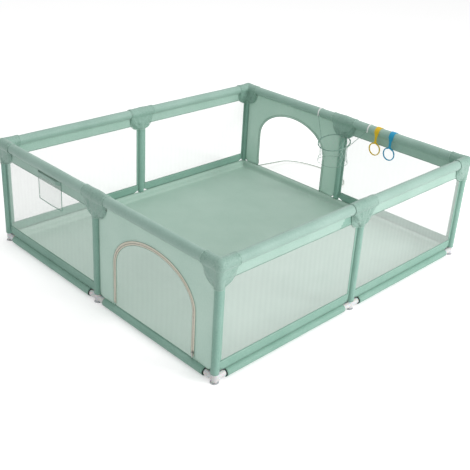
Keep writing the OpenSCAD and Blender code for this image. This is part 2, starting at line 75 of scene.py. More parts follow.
# Doorway: half width, height where the arch springs, rise of the arch, hinge line
DOOR_HALF, DOOR_SPRING, DOOR_RISE = 300.0, 300.0, 200.0
PANEL_HALF, PANEL_FOOT, PANEL_TOP, PANEL_CORNER = 433.7, 49.2, 587.4, 30.0
HINGE_HEIGHT = 50.4
TAPE_FOOT = 64.4
FLAP_OPEN = radians(95.984)


def middle_of(node):
    low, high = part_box(node)
    return (low + high) / 2 / MM


CORNERS = [middle_of(name) for name in CORNER_POSTS]
SIDE_LENGTHS = [(CORNERS[(i + 1) % 4] - CORNERS[i]).length for i in SIDES]


def at_side(side, along, out, height):
    """A point given along a side, outwards from it and above the ground, in metres."""
    c, s = cos(side * pi / 2), sin(side * pi / 2)
    start = CORNERS[side]
    return Vector((start.x + c * along + s * out, start.y + s * along - c * out, height)) * MM


def bay_length(side):
    return SIDE_LENGTHS[side] / 2


def is_door(side, bay):
    return side in (RIGHT, LEFT) and bay == DOOR_BAY


def ripple(x, y, z=0.0):
    return noise.noise(Vector((x, y, z)))


def smooth_step(low, high, value):
    t = min(1.0, max(0.0, (value - low) / (high - low)))
    return t * t * (3 - 2 * t)


def blend(a, b, t):
    return a + (b - a) * t


# ---- materials ----


def linear(hex_colour):
    """An sRGB hex colour as linear light."""
    parts = [int(hex_colour[i : i + 2], 16) / 255 for i in (1, 3, 5)]
    return tuple(p / 12.92 if p <= 0.04045 else ((p + 0.055) / 1.055) ** 2.4 for p in parts) + (1.0,)


def add(tree, kind, sockets=None, **settings):
    """Adds a node, gives it its settings and fills or links its sockets."""
    made = tree.nodes.new("ShaderNode" + kind)
    for key, value in settings.items():
        setattr(made, key, value)
    for key, value in (sockets or {}).items():
        if isinstance(value, bpy.types.NodeSocket):
            tree.links.new(value, made.inputs[key])
        else:
            made.inputs[key].default_value = value
    return made


def new_material(name):
    made = bpy.data.materials.new(name)
    made.use_nodes = True
    made.node_tree.nodes.clear()
    return made, made.node_tree


def close_surface(tree, shader):
    add(tree, "OutputMaterial", {"Surface": shader.outputs[0]})


BAND_PERIOD = pi / 10  # a wave texture of scale 1 repeats over this many metres


def woven_cloth(name, light, dark, thread_mm, roughness, sheen, bump, coat=0.0):
    """Polyester cloth: two sets of threads, soft uneven tone and a faint sheen at its edges."""
    made, tree = new_material(name)
    place = add(tree, "TexCoord").outputs["Object"]
    split = add(tree, "SeparateXYZ", {"Vector": place})
    across = add(tree, "Math", {0: split.outputs["X"], 1: split.outputs["Y"]}, operation="ADD")
    grain = add(tree, "CombineXYZ", {"X": across.outputs[0], "Y": split.outputs["Z"]})
    scale = BAND_PERIOD / (thread_mm * MM)
    weft = add(tree, "TexWave", {"Vector": grain.outputs[0], "Scale": scale, "Distortion": 0.4},
               wave_type="BANDS", bands_direction="X")
    warp = add(tree, "TexWave", {"Vector": grain.outputs[0], "Scale": scale, "Distortion": 0.4},
               wave_type="BANDS", bands_direction="Y")
    threads = add(tree, "Math", {0: weft.outputs["Fac"], 1: warp.outputs["Fac"]}, operation="MULTIPLY")
    drift = add(tree, "TexNoise", {"Vector": place, "Scale": 5.0, "Detail": 4.0, "Roughness": 0.55})
    slub = add(tree, "TexNoise", {"Vector": place, "Scale": 160.0, "Detail": 2.0})
    tone = add(tree, "Math", {0: drift.outputs["Fac"], 1: slub.outputs["Fac"]}, operation="ADD")
    tone = add(tree, "MapRange", {"Value": tone.outputs[0], "From Min": 0.7, "From Max": 1.3})
    tone = add(tree, "Math", {0: threads.outputs[0], 1: 0.22, 2: tone.outputs[0]},
               operation="MULTIPLY_ADD", use_clamp=True)
    colour = add(tree, "Mix", {"Factor": tone.outputs[0], "A": linear(dark), "B": linear(light)},
                 data_type="RGBA")
    relief = add(tree, "Math", {0: slub.outputs["Fac"], 1: 0.5, 2: threads.outputs[0]},
                 operation="MULTIPLY_ADD")
    raised = add(tree, "Bump", {"Strength": bump, "Distance": 0.0012, "Height": relief.outputs[0]})
    puckers = add(tree, "TexNoise", {"Vector": place, "Scale": 24.0, "Detail": 3.0})
    raised = add(tree, "Bump", {"Strength": 0.25, "Distance": 0.004,
                                          "Height": puckers.outputs["Fac"], "Normal": raised.outputs[0]})
    shader = add(tree, "BsdfPrincipled", {
        "Base Color": colour.outputs["Result"], "Roughness": roughness, "Sheen Weight": sheen,
        "Sheen Roughness": 0.4, "IOR": 1.5, "Coat Weight": coat, "Coat Roughness": 0.4,
        "Normal": raised.outputs[0]})
    close_surface(tree, shader)
    return made


def moulded_plastic(name, light, dark, roughness, ior, grain_mm, transmission=0.0, subsurface=0.0):
    """Injection-moulded plastic: nearly even colour, a soft skin texture and small scuffs in its gloss."""
    made, tree = new_material(name)
    place = add(tree, "TexCoord").outputs["Object"]
    drift = add(tree, "TexNoise", {"Vector": place, "Scale": 18.0, "Detail": 3.0})
    colour = add(tree, "Mix", {"Factor": drift.outputs["Fac"], "A": linear(dark), "B": linear(light)},
                 data_type="RGBA")
    scuffs = add(tree, "TexNoise", {"Vector": place, "Scale": 90.0, "Detail": 5.0})
    gloss = add(tree, "MapRange", {"Value": scuffs.outputs["Fac"], "From Min": 0.3, "From Max": 0.7,
                                             "To Min": roughness - 0.07, "To Max": roughness + 0.1})
    skin = add(tree, "TexNoise", {"Vector": place, "Scale": 1 / (grain_mm * MM), "Detail": 2.0})
    raised = add(tree, "Bump", {"Strength": 0.12, "Distance": 0.0005, "Height": skin.outputs["Fac"]})
    shader = add(tree, "BsdfPrincipled", {
        "Base Color": colour.outputs["Result"], "Roughness": gloss.outputs[0], "IOR": ior,
        "Transmission Weight": transmission, "Subsurface Weight": subsurface, "Subsurface Scale": 0.004,
        "Normal": raised.outputs[0]})
    close_surface(tree, shader)
    return made


def bare_metal(name, light, dark, roughness, streak_mm):
    """Drawn or cast metal: fine streaks along its length and uneven gloss."""
    made, tree = new_material(name)
    place = add(tree, "TexCoord").outputs["Object"]
    patch = add(tree, "TexNoise", {"Vector": place, "Scale": 30.0, "Detail": 4.0})
    colour = add(tree, "Mix", {"Factor": patch.outputs["Fac"], "A": linear(dark), "B": linear(light)},
                 data_type="RGBA")
    streaks = add(tree, "TexNoise", {"Vector": place, "Scale": 1 / (streak_mm * MM), "Detail": 3.0})
    gloss = add(tree, "MapRange", {"Value": streaks.outputs["Fac"], "To Min": roughness - 0.1,
                                             "To Max": roughness + 0.12})
    raised = add(tree, "Bump", {"Strength": 0.08, "Distance": 0.0004, "Height": streaks.outputs["Fac"]})
    shader = add(tree, "BsdfPrincipled", {
        "Base Color": colour.outputs["Result"], "Metallic": 1.0, "Roughness": gloss.outputs[0],
        "Normal": raised.outputs[0]})
    close_surface(tree, shader)
    return made


def sheer_net(name, thread_colour, open_share, thread_mm, stripe_mm):
    """Knitted polyester mesh: see-through, with faint upright lines where the knit's columns gather."""
    made, tree = new_material(name)
    place = add(tree, "TexCoord").outputs["Object"]
    split = add(tree, "SeparateXYZ", {"Vector": place})
    across = add(tree, "Math", {0: split.outputs["X"], 1: split.outputs["Y"]}, operation="ADD")
    knit = add(tree, "CombineXYZ", {"X": across.outputs[0], "Y": split.outputs["Z"]})
    scale = BAND_PERIOD / (thread_mm * MM)
    course = add(tree, "TexWave", {"Vector": knit.outputs[0], "Scale": scale}, bands_direction="X")
    wale = add(tree, "TexWave", {"Vector": knit.outputs[0], "Scale": scale}, bands_direction="Y")
    thread = add(tree, "Math", {0: course.outputs["Fac"], 1: wale.outputs["Fac"]}, operation="MAXIMUM")
    stripe = add(tree, "TexWave", {"Vector": knit.outputs[0], "Scale": BAND_PERIOD / (stripe_mm * MM),
                                             "Distortion": 0.6, "Detail": 1.0}, bands_direction="X")
    haze = add(tree, "TexNoise", {"Vector": place, "Scale": 4.0, "Detail": 3.0})
    cover = add(tree, "Math", {0: thread.outputs[0], 1: 0.03, 2: 1 - open_share - 0.06},
                operation="MULTIPLY_ADD")
    cover = add(tree, "Math", {0: stripe.outputs["Fac"], 1: 0.012, 2: cover.outputs[0]},
                operation="MULTIPLY_ADD")
    cover = add(tree, "Math", {0: haze.outputs["Fac"], 1: 0.06, 2: cover.outputs[0]},
                operation="MULTIPLY_ADD", use_clamp=True)
    shader = add(tree, "BsdfPrincipled", {
        "Base Color": linear(thread_colour), "Roughness": 0.75, "Sheen Weight": 0.1, "IOR": 1.5,
        "Alpha": cover.outputs[0]})
    close_surface(tree, shader)
    return made


# Padded rail cloth: satin-faced polyester with a sheen where light rakes it; its colour is set darker than the band's
# as painted shade on the round tube
RAIL_CLOTH_PAINTED_SHADE = woven_cloth("satin_polyester_rail_cloth_painted_shade", "#A0BFB3", "#8EB0A3", 3.0, 0.5, 0.3, 0.35, 0.1)
# Band under the rail: the same cloth lying flat, kept paler because it carries none of the tube's painted shade
BAND_CLOTH = woven_cloth("satin_polyester_band_cloth", "#B2CFC3", "#A1C2B4", 3.0, 0.6, 0.15, 0.35)
# Gathered caps: the same yarn in a deeper dye, a little shinier in its folds
CAP_CLOTH = woven_cloth("satin_polyester_cap_cloth", "#98B9AC", "#7B9F91", 3.0, 0.5, 0.3, 0.4, 0.1)
# Flat panels: plain-woven polyester, matt and mint
PANEL_CLOTH = woven_cloth("plain_woven_polyester_panel", "#CDE8DB", "#C0DFD1", 3.5, 0.7, 0.1, 0.4)
# Base sleeves and their bands: a tougher cloth in the darker dye; its colour also serves as the painted shadow on the
# front rail band
BASE_CLOTH = woven_cloth("plain_woven_polyester_base", "#93B9AA", "#7FA999", 3.5, 0.65, 0.15, 0.4)
# Post sleeves: the panel cloth in the darker dye
POST_CLOTH = woven_cloth("plain_woven_polyester_sleeve", "#92B9AB", "#7DA898", 3.5, 0.65, 0.2, 0.4)
# Hems and bindings: folded twice, so denser and darker
BINDING_CLOTH = woven_cloth("folded_polyester_binding", "#7FA696", "#6A9382", 2.5, 0.7, 0.1, 0.5)
# Floor: coated polyester, smooth with a dull shine
MAT_CLOTH = woven_cloth("coated_polyester_floor", "#B2CCBF", "#A6C3B5", 5.0, 0.5, 0.05, 0.15, 0.05)
# Zip tape: undyed woven polyester, ribbed across
TAPE_CLOTH = woven_cloth("woven_polyester_zip_tape", "#F3EFE0", "#E6E0CC", 2.0, 0.75, 0.1, 0.6)
# Zip coil: dull nylon, grey beside the cream tape
COIL_NYLON = moulded_plastic("extruded_nylon_zip_coil", "#B5B3A8", "#9C9A90", 0.45, 1.53, 1.0)
# Stitching thread: spun polyester, paler than the cloth it holds
THREAD = woven_cloth("spun_polyester_thread", "#D3E4DB", "#B9D0C5", 0.8, 0.6, 0.2, 0.3)
SHEER = sheer_net("knitted_polyester_mesh", "#F4F6F4", 0.68, 4.0, 38.0)
POCKET_SHEER = sheer_net("knitted_polyester_pocket_mesh", "#EEF3F0", 0.74, 4.0, 30.0)
STEEL = bare_metal("galvanised_steel_tube", "#C9CBCC", "#AEB1B3", 0.38, 0.6)
ZINC = bare_metal("die_cast_zinc_zip", "#C4C4C0", "#9C9C98", 0.3, 0.8)
DARK_PP = moulded_plastic("moulded_polypropylene_dark", "#55595A", "#454849", 0.5, 1.49, 0.8)
MILKY_PE = moulded_plastic("moulded_polyethylene_milky", "#F0F0F0", "#DEDFE0", 0.4, 1.51, 0.9, 0.15, 0.2)
CLEAR_PVC = moulded_plastic("moulded_clear_vinyl", "#E6E9EA", "#D3D7DA", 0.22, 1.53, 1.2, 0.45)
YELLOW_PP = moulded_plastic("moulded_polypropylene_yellow", "#F2CC1E", "#E2B814", 0.35, 1.49, 0.9)
BLUE_PP = moulded_plastic("moulded_polypropylene_blue", "#16A6D2", "#0F93BE", 0.35, 1.49, 0.9)
WHITE_ABS = moulded_plastic("moulded_abs_white", "#F3F4F2", "#E6E8E6", 0.32, 1.54, 0.8)
GREEN_PP = moulded_plastic("moulded_polypropylene_green", "#86A79B", "#759689", 0.4, 1.49, 0.9)
# Netting twine: thin and nearly white
NET_TWINE = woven_cloth("knotted_polyester_twine", "#D5E2DC", "#BACCC4", 1.0, 0.7, 0.2, 0.5)
CORD_YARN = woven_cloth("braided_polyester_cord", "#84A699", "#6F9385", 1.2, 0.7, 0.2, 0.6)

NODE_FINISHES = {
    STEEL: CORNER_POSTS + ("middle_posts",)
    + tuple(f"{level}_rails_{side}" for level in ("top", "base") for side in SIDE_NAMES),
    DARK_PP: ("corner_connectors", "tee_connectors"),
    MILKY_PE: ("base_corner_connectors", "base_tee_connectors"),
    CLEAR_PVC: ("suction_feet",),
    ZINC: ("zip_slider_left", "zip_slider_right", "zip_tab_left", "zip_tab_right"),
    YELLOW_PP: ("pull_strap_yellow", "pull_ring_yellow"),
    BLUE_PP: ("pull_strap_blue", "pull_ring_blue"),
    WHITE_ABS: ("hoop_hooks",),
    GREEN_PP: ("hoop_ring",),
}
for finish, names in NODE_FINISHES.items():
    for name in names:
        nodes[name].data.materials.clear()
        nodes[name].data.materials.append(finish)


# ---- mesh building ----


def place_piece(name, form, finish, body="playpen", replaces=()):
    """Makes a named piece from a Shape or a mesh, with its finish, body and CAD nodes."""
    mesh = form.mesh(name) if isinstance(form, Shape) else form
    for each in finish if isinstance(finish, (list, tuple)) else [finish]:
        mesh.materials.append(each)
    mesh.polygons.foreach_set("use_smooth", [True] * len(mesh.polygons))
    piece = bpy.data.objects.new(name, mesh)
    bpy.context.scene.collection.objects.link(piece)
    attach(piece, body)
    if replaces:
        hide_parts(*replaces)
    return piece


class Shape:
    """Points and faces of one piece, gathered before it becomes a mesh."""

    def __init__(self):
        self.points, self.faces, self.finishes = [], [], []

    def rows(self, rows, ring=True, capped=True, finish=0):
        """Joins rows of points in order; each row is a closed ring or an open line."""
        start, width = len(self.points), len(rows[0])
        for row in rows:
            self.points.extend(row)
        last = width if ring else width - 1
        for i in range(len(rows) - 1):
            for j in range(last):
                a, b = start + i * width + j, start + i * width + (j + 1) % width
                self.faces.append((a, b, b + width, a + width))
                self.finishes.append(finish(i, j) if callable(finish) else finish)
        if ring and capped:
            self.faces.append(tuple(range(start + width - 1, start - 1, -1)))
            end = start + (len(rows) - 1) * width
            self.faces.append(tuple(range(end, end + width)))
            self.finishes += [0 if callable(finish) else finish] * 2

    def tube(self, path, radius, sides=8, closed=False, finish=0):
        """A round rod along a path of points in metres."""
        count = len(path)
        rows = []
        normal = None
        for i, point in enumerate(path):
            ahead = path[(i + 1) % count] if closed or i + 1 < count else point
            behind = path[i - 1] if closed or i else point
            forward = (ahead - behind).normalized()
            if normal is None:
                normal = forward.orthogonal().normalized()
            normal = (normal - forward * normal.dot(forward)).normalized()
            other = forward.cross(normal)
            rows.append([point + (normal * cos(a) + other * sin(a)) * radius
                         for a in (2 * pi * k / sides for k in range(sides))])
        if closed:
            rows.append(rows[0])
        self.rows(rows, capped=not closed, finish=finish)

    def mesh(self, name):
        made = bpy.data.meshes.new(name)
        made.from_pydata(self.points, [], self.faces)
        made.polygons.foreach_set("material_index", self.finishes)
        fixed = bmesh.new()
        fixed.from_mesh(made)
        bmesh.ops.remove_doubles(fixed, verts=fixed.verts, dist=1e-6)
        bmesh.ops.recalc_face_normals(fixed, faces=fixed.faces)
        fixed.to_mesh(made)
        fixed.free()
        return made


def along_path(path, step):
    """Points every step metres along a path, with the direction at each."""
    lengths = [(b - a).length for a, b in zip(path, path[1:])]
    marks, total = [0.0], 0.0
    for length in lengths:
        total += length
        marks.append(total)
    found, index = [], 0
    for k in range(int(total / step)):
        distance = k * step + step / 2
        while marks[index + 1] < distance:
            index += 1
        share = (distance - marks[index]) / max(lengths[index], 1e-9)
        found.append((path[index].lerp(path[index + 1], share), (path[index + 1] - path[index]).normalized()))
    return found


def stitch_row(shape, path, length=5.0, pitch=8.0, radius=0.7):
    """Running stitches drawn longer and thicker than real thread so that they show."""
    for point, forward in along_path(path, pitch * MM):
        half = forward * (length / 2 * MM)
        shape.tube([point - half, point - half * 0.6, point + half * 0.6, point + half], radius * MM, sides=5)


# ---- camera ----

CAMERA_PLACE = Vector((-3.072, -2.9946, 2.2624))
CAMERA_AXES = Matrix(((0.71624, 0.26597, -0.64518), (-0.69581, 0.34284, -0.63112), (0.05334, 0.90095, 0.43062)))
camera_data = bpy.data.cameras.new("camera")
camera_data.sensor_width = 36
camera_data.lens = 60.2
camera_data.shift_x, camera_data.shift_y = 0.0040, -0.0430
camera = bpy.data.objects.new("camera", camera_data)
camera.matrix_world = Matrix.Translation(CAMERA_PLACE) @ CAMERA_AXES.to_4x4()
bpy.context.scene.collection.objects.link(camera)
bpy.context.scene.camera = camera


# ---- padded rail covers with the band sewn under them ----


def cover_radius(along, angle, length, side, bay):
    lumps = 0.9 * ripple(along / 95, side * 7 + bay * 3 + cos(angle) * 0.8, sin(angle) * 0.8)
    ends = min(along - COVER_START, length - COVER_START - along)
    gather = (1 - smooth_step(60, 130, ends)) * 0.8 * sin(9 * angle + 2 * ripple(along / 30, side, 4))
    return COVER_R - 0.4 + lumps + gather * 0.5


def band_wave(along, height, side, bay):
    return 1.1 * ripple(along / 120, height / 90, side * 5 + bay * 2)


RING_STEPS, RAIL_STEPS, BAND_STEPS = 40, 84, 8
SEAM_ANGLE = 0.07  # half the gap that the band fills in the tube of cloth, in radians
BAND_HEAD = 587.0
# Length along the front band of the painted shadow beside the middle post
SHADOW_PATCH_LENGTH = 178.0


def rail_cover(side):
    shape = Shape()
    for bay in (0, 1):
        length = bay_length(side)
        offset = bay * length
        with_band = not is_door(side, bay)
        rows = []
        for i in range(RAIL_STEPS + 1):
            along = blend(COVER_START, length - COVER_START, i / RAIL_STEPS)
            outer, ring, inner = [], [], []
            for k in range(BAND_STEPS if with_band else 0):
                height = blend(TOP_BAND_FOOT, BAND_HEAD, k / BAND_STEPS)
                sway = band_wave(along, height, side, bay) * (1 - k / BAND_STEPS)
                thick = BAND_HALF + (0.6 if k < 2 else 0.0)
                outer.append(at_side(side, offset + along, sway + thick, height))
                inner.append(at_side(side, offset + along, sway - thick, height))
            for k in range(RING_STEPS):
                turn = (2 * pi - 2 * SEAM_ANGLE) * k / (RING_STEPS - 1)
                angle = -pi / 2 + (SEAM_ANGLE if with_band else 0) + turn
                radius = cover_radius(along, angle, length, side, bay)
                ring.append(at_side(side, offset + along, radius * cos(angle),
                                    RAIL_HEIGHT + radius * sin(angle)))
            rows.append(outer + ring + inner[::-1])
        # Painted shadow: the front band's first bay turns darker near the middle post, with a slanted end
        painted_shadow = side == FRONT and bay == 0

        def finish(i, j, with_band=with_band, painted_shadow=painted_shadow, length=length, width=len(rows[0])):
            """Tube cloth (darkened as painted shade) round the rail, band cloth below it, and a painted shadow: a
            darker patch in base cloth with a slanted end.
            """
            if not with_band or BAND_STEPS <= j < BAND_STEPS + RING_STEPS - 1:
                return 0
            rise = min(j, width - 1 - j)
            along = blend(COVER_START, length - COVER_START, i / RAIL_STEPS)
            return 2 if painted_shadow and along > length - SHADOW_PATCH_LENGTH + 5 * rise else 1

        shape.rows(rows, finish=finish)
    # Finishes: tube cloth with painted shade, band cloth, and base cloth as the painted shadow
    piece = place_piece(f"rail_cover_{SIDE_NAMES[side]}", shape, [RAIL_CLOTH_PAINTED_SHADE, BAND_CLOTH, BASE_CLOTH],
                        replaces=(f"rail_covers_{SIDE_NAMES[side]}", f"rail_pads_{SIDE_NAMES[side]}"))
    return piece


def base_sleeve(side):
    """Sleeve round the base rail with its band above, cut back beside the posts."""
    shape = Shape()
    for bay in (0, 1):
        length = bay_length(side)
        offset = bay * length
        walls = []
        for wall in (0.0, BASE_SLEEVE_WALL):
            rows = []
            for i in range(71):
                along = blend(BASE_SLEEVE_START, length - BASE_SLEEVE_START, i / 70)
                ring = []
                for k in range(32):
                    angle = 2 * pi * k / 32
                    radius = BASE_SLEEVE_R - 0.4 - wall
                    radius += 0.7 * ripple(along / 80, cos(angle) + side * 3, sin(angle) + bay)
                    height = BASE_RAIL_HEIGHT + radius * sin(angle)
                    ring.append(at_side(side, offset + along, radius * cos(angle), height))
                rows.append(ring)
            walls.append(rows)
        around = walls[0] + walls[1][::-1]
        shape.rows(around + around[:1], capped=False)
        if is_door(side, bay):
            continue
        rows = []
        for i in range(81):
            along = blend(BAND_START, length - BAND_START, i / 80)
            inset = min(along - BAND_START, length - BAND_START - along)
            foot = BASE_BAND_FOOT - 0.6 + NOTCH_HEIGHT * (1 - min(1, inset / NOTCH_WIDTH))
            outer, inner = [], []
            for k in range(7):
                height = blend(foot, BASE_BAND_TOP, k / 6)
                sway = band_wave(along, height, side + 4, bay) * k / 8
                thick = BAND_HALF + (0.7 if k >= 5 else 0.0)
                outer.append(at_side(side, offset + along, sway + thick, height))
                inner.append(at_side(side, offset + along, sway - thick, height))
            rows.append(outer + inner[::-1])
        shape.rows(rows)
    tag = SIDE_NAMES[side]
    return place_piece(f"base_sleeve_{tag}", shape, BASE_CLOTH, replaces=(f"base_sleeves_{tag}",))


def hem_lines(side):
    """Dark folded edges of the bands, with a row of stitches beside each."""
    folds, thread = Shape(), Shape()
    for bay in (0, 1):
        if is_door(side, bay):
            continue
        length, offset = bay_length(side), bay * bay_length(side)
        for height, lift, foot in ((TOP_BAND_FOOT + 0.6, 7.0, side), (BASE_BAND_TOP - 0.6, -7.0, side + 4)):
            for face in (1, -1):
                def edge(rise, depth):
                    level, share = height + rise, 0.95 if foot == side else 0.7
                    return [at_side(side, offset + along,
                                    face * depth + band_wave(along, level, foot, bay) * share, level)
                            for along in np.linspace(BINDING_END - 6, length - BINDING_END + 6, 60)]
                folds.tube(edge(0, 1.7), 1.3 * MM, sides=6)
                stitch_row(thread, edge(lift, 2.0))
    place_piece(f"band_piping_{SIDE_NAMES[side]}", folds, BINDING_CLOTH)
    place_piece(f"band_stitching_{SIDE_NAMES[side]}", thread, THREAD)


rail_pieces = {side: rail_cover(side) for side in SIDES}
base_pieces = {side: base_sleeve(side) for side in SIDES}
for side in SIDES:
    hem_lines(side)
    sewn = 2 * (bay_length(side) - 2 * BASE_SLEEVE_START) * 2 * pi * BASE_SLEEVE_R
    bands = sum(bay_length(side) * (BASE_BAND_TOP - BASE_BAND_FOOT) for bay in (0, 1) if not is_door(side, bay))


# ---- post sleeves and their window bindings ----

# Section of a binding: reach from the post's axis and offset from the side's middle plane
BINDING_SECTION = ((19.0, 1.5), (28.0, 1.5), (33.5, 2.0), (36.0, 1.2),
                   (36.0, -1.2), (33.5, -2.0), (28.0, -1.5), (19.0, -1.5))


def post_sleeve(name, side, along, wings, node):
    """Padded sleeve on a post; wings are +1 or -1 along the side, or None for the side before."""
    shape = Shape()
    rows = []
    for i in range(46):
        height = blend(POST_SLEEVE_FOOT, POST_SLEEVE_TOP, i / 45)
        ring = []
        for k in range(36):
            angle = 2 * pi * k / 36
            radius = POST_SLEEVE_R - 0.5
            radius += 0.6 * ripple(height / 110, 2 * cos(angle) + side, 2 * sin(angle) + along / 300)
            ring.append(at_side(side, along + radius * cos(angle), radius * sin(angle), height))
        rows.append(ring)
    shape.rows(rows)
    low, high = BASE_BAND_TOP + 0.3, TOP_BAND_FOOT - 0.3
    for wing in wings:
        rows = []
        for i in range(40):
            height = blend(low, high, i / 39)
            sway = 0.5 * ripple(height / 60, side, along / 200)
            ring = []
            for reach, out in BINDING_SECTION:
                if wing is None:
                    ring.append(at_side(side, along + out + sway, -reach, height))
                else:
                    ring.append(at_side(side, along + wing * reach, out + sway, height))
            rows.append(ring)
        shape.rows(rows, finish=1)
    piece = place_piece(name, shape, [POST_CLOTH, BASE_CLOTH],
                        replaces=(node,) if node else ())


CORNER_WINGS = {FRONT: (1,), RIGHT: (1, None), BACK: (1,), LEFT: (1, None)}
MIDDLE_WINGS = {FRONT: (1, -1), RIGHT: (-1,), BACK: (1, -1), LEFT: (-1,)}
for side in SIDES:
    post_sleeve(f"corner_post_sleeve_{side}", side, 0.0, CORNER_WINGS[side],
                "corner_post_sleeves" if side == 0 else None)
    post_sleeve(f"middle_post_sleeve_{side}", side, bay_length(side), MIDDLE_WINGS[side],
                "middle_post_sleeves" if side == 0 else None)


# ---- gathered caps over the post tops ----

VOXEL = 0.0028
CAP_ARM_R, CAP_CROWN_R, CAP_STEM_FOOT_R, CAP_STEM_HEAD_R = 32.6, 34.0, 23.6, 27.0
# Half thickness of a cap's skirt, how far each layer is drawn in and how far its foot is lifted
HOOD_LAYERS = ((7.2, 0.0, 0.0), (13.0, 1.0, 11.0), (19.0, 2.5, 25.0), (25.0, 4.0, 42.0))


def evaluated_mesh(piece):
    bpy.context.view_layer.update()
    settled = piece.evaluated_get(bpy.context.evaluated_depsgraph_get())
    return bpy.data.meshes.new_from_object(settled)


def cap_form(arms, reach, skirt):
    """Rough solid of a cap in its own millimetres, as overlapping closed forms."""
    form = bmesh.new()
    turn = Matrix.Rotation(pi / 2, 4, "Y")
    for arm in arms:
        spin = Matrix.Rotation(arm, 4, "Z")
        shift = Matrix.Translation((reach / 2, 0, RAIL_HEIGHT))
        bmesh.ops.create_cone(form, cap_ends=True, segments=48, radius1=CAP_ARM_R, radius2=CAP_ARM_R,
                              depth=reach, matrix=spin @ shift @ turn)
        for half, draw_in, lift in HOOD_LAYERS:
            outline = [(max(x - draw_in, 0), min(z + lift, RAIL_HEIGHT)) for x, z in skirt]
            near, far = ([form.verts.new(spin @ Vector((x, y, z))) for x, z in outline] for y in (-half, half))
            form.faces.new(list(reversed(near)))
            form.faces.new(far)
            for i in range(len(near)):
                j = (i + 1) % len(near)
                form.faces.new((near[i], near[j], far[j], far[i]))
    bmesh.ops.create_uvsphere(form, u_segments=48, v_segments=32, radius=CAP_CROWN_R,
                              matrix=Matrix.Translation((0, 0, RAIL_HEIGHT)))
    bmesh.ops.create_cone(form, cap_ends=True, segments=40, radius1=CAP_STEM_FOOT_R, radius2=CAP_STEM_HEAD_R,
                          depth=RAIL_HEIGHT - CAP_HEM, matrix=Matrix.Translation((0, 0, (RAIL_HEIGHT + CAP_HEM) / 2)))
    bmesh.ops.recalc_face_normals(form, faces=form.faces)
    return form


def cap_cloth(name, side, along, arms, reach, skirt, folds, node):
    form = cap_form(arms, reach, skirt)
    rough = bpy.data.meshes.new(name + "_rough")
    form.transform(Matrix.Scale(MM, 4))
    form.to_mesh(rough)
    form.free()
    block = bpy.data.objects.new(name + "_rough", rough)
    bpy.context.scene.collection.objects.link(block)
    remesh = block.modifiers.new("remesh", "REMESH")
    remesh.mode, remesh.voxel_size = "VOXEL", VOXEL
    smooth = block.modifiers.new("smooth", "SMOOTH")
    smooth.factor, smooth.iterations = 0.6, 7
    settled = evaluated_mesh(block)
    bpy.data.objects.remove(block)
    cloth = bmesh.new()
    cloth.from_mesh(settled)
    cloth.normal_update()
    directions = [Vector((cos(arm), sin(arm), 0)) for arm in arms]
    for vert in cloth.verts:
        p = vert.co / MM
        push = 0.9 * ripple(p.x / 26 + side * 5, p.y / 26, p.z / 26 + along / 99)
        best = max(directions, key=lambda d: d.dot(p))
        run, across = best.dot(p), best.cross(Vector((0, 0, 1))).dot(p)
        height = p.z - RAIL_HEIGHT
        turn_angle = atan2(height, across)
        # Gathers where elastic draws the end of each arm in
        ends = smooth_step(reach - 30, reach - 4, run)
        push += ends * 1.3 * sin(11 * turn_angle + 3 * ripple(p.x / 15, p.y / 15, p.z / 15))
        push -= 0.8 * smooth_step(reach - 9, reach - 3, run)
        # Folds that fan from the post up to the rail
        fan = atan2(p.z - CAP_HEM + 14, max(run, 0.1))
        below = smooth_step(-10, -34, height) if height < 0 else 0.0
        push += folds * below * sin(fan * 15 + side * 1.3) * smooth_step(12, 30, run)
        # Fuller over the post than at the arms
        push += 1.6 * (1 - smooth_step(10, 60, p.xy.length)) * smooth_step(-40, 0, height)
        vert.co += vert.normal * push * MM
    cloth.normal_update()
    gone = []
    for face in cloth.faces:
        centre = face.calc_center_median() / MM
        run = max(d.dot(centre) for d in directions)
        facing = max(d.dot(face.normal) for d in directions)
        if run > reach - 3.2 and facing > 0.6:
            gone.append(face)
        elif centre.z < CAP_HEM + 2 and centre.xy.length < 22 and face.normal.z < -0.6:
            gone.append(face)
    bmesh.ops.delete(cloth, geom=gone, context="FACES")
    axis = at_side(side, along, 0, 0)
    place = Matrix.Translation(axis) @ Matrix.Rotation(side * pi / 2, 4, "Z")
    cloth.transform(place)
    mesh = bpy.data.meshes.new(name)
    cloth.to_mesh(mesh)
    cloth.free()
    piece = place_piece(name, mesh, CAP_CLOTH, replaces=(node,) if node else ())
    shell = piece.modifiers.new("cloth", "SOLIDIFY")
    shell.thickness, shell.offset = 1.4 * MM, -1
    return piece


def smooth_path(points, steps=8):
    """A curve through a few points, as many short steps."""
    path = []
    for i in range(len(points) - 1):
        a, b = points[i], points[i + 1]
        before, after = points[max(i - 1, 0)], points[min(i + 2, len(points) - 1)]
        for k in range(steps):
            t = k / steps
            path.append(0.5 * ((2 * a) + (b - before) * t + (2 * before - 5 * a + 4 * b - after) * t * t
                               + (3 * a - before - 3 * b + after) * t ** 3))
    path.append(points[-1])
    return path


CORNER_SKIRT = ((0, 502), (27, 502), (66, 516), (93, 546), (102, 587.7), (102, 617), (0, 617))
MIDDLE_SKIRT = ((0, 502), (28, 502), (60, 512), (84, 542), (95, 587.7), (95, 617), (0, 617))


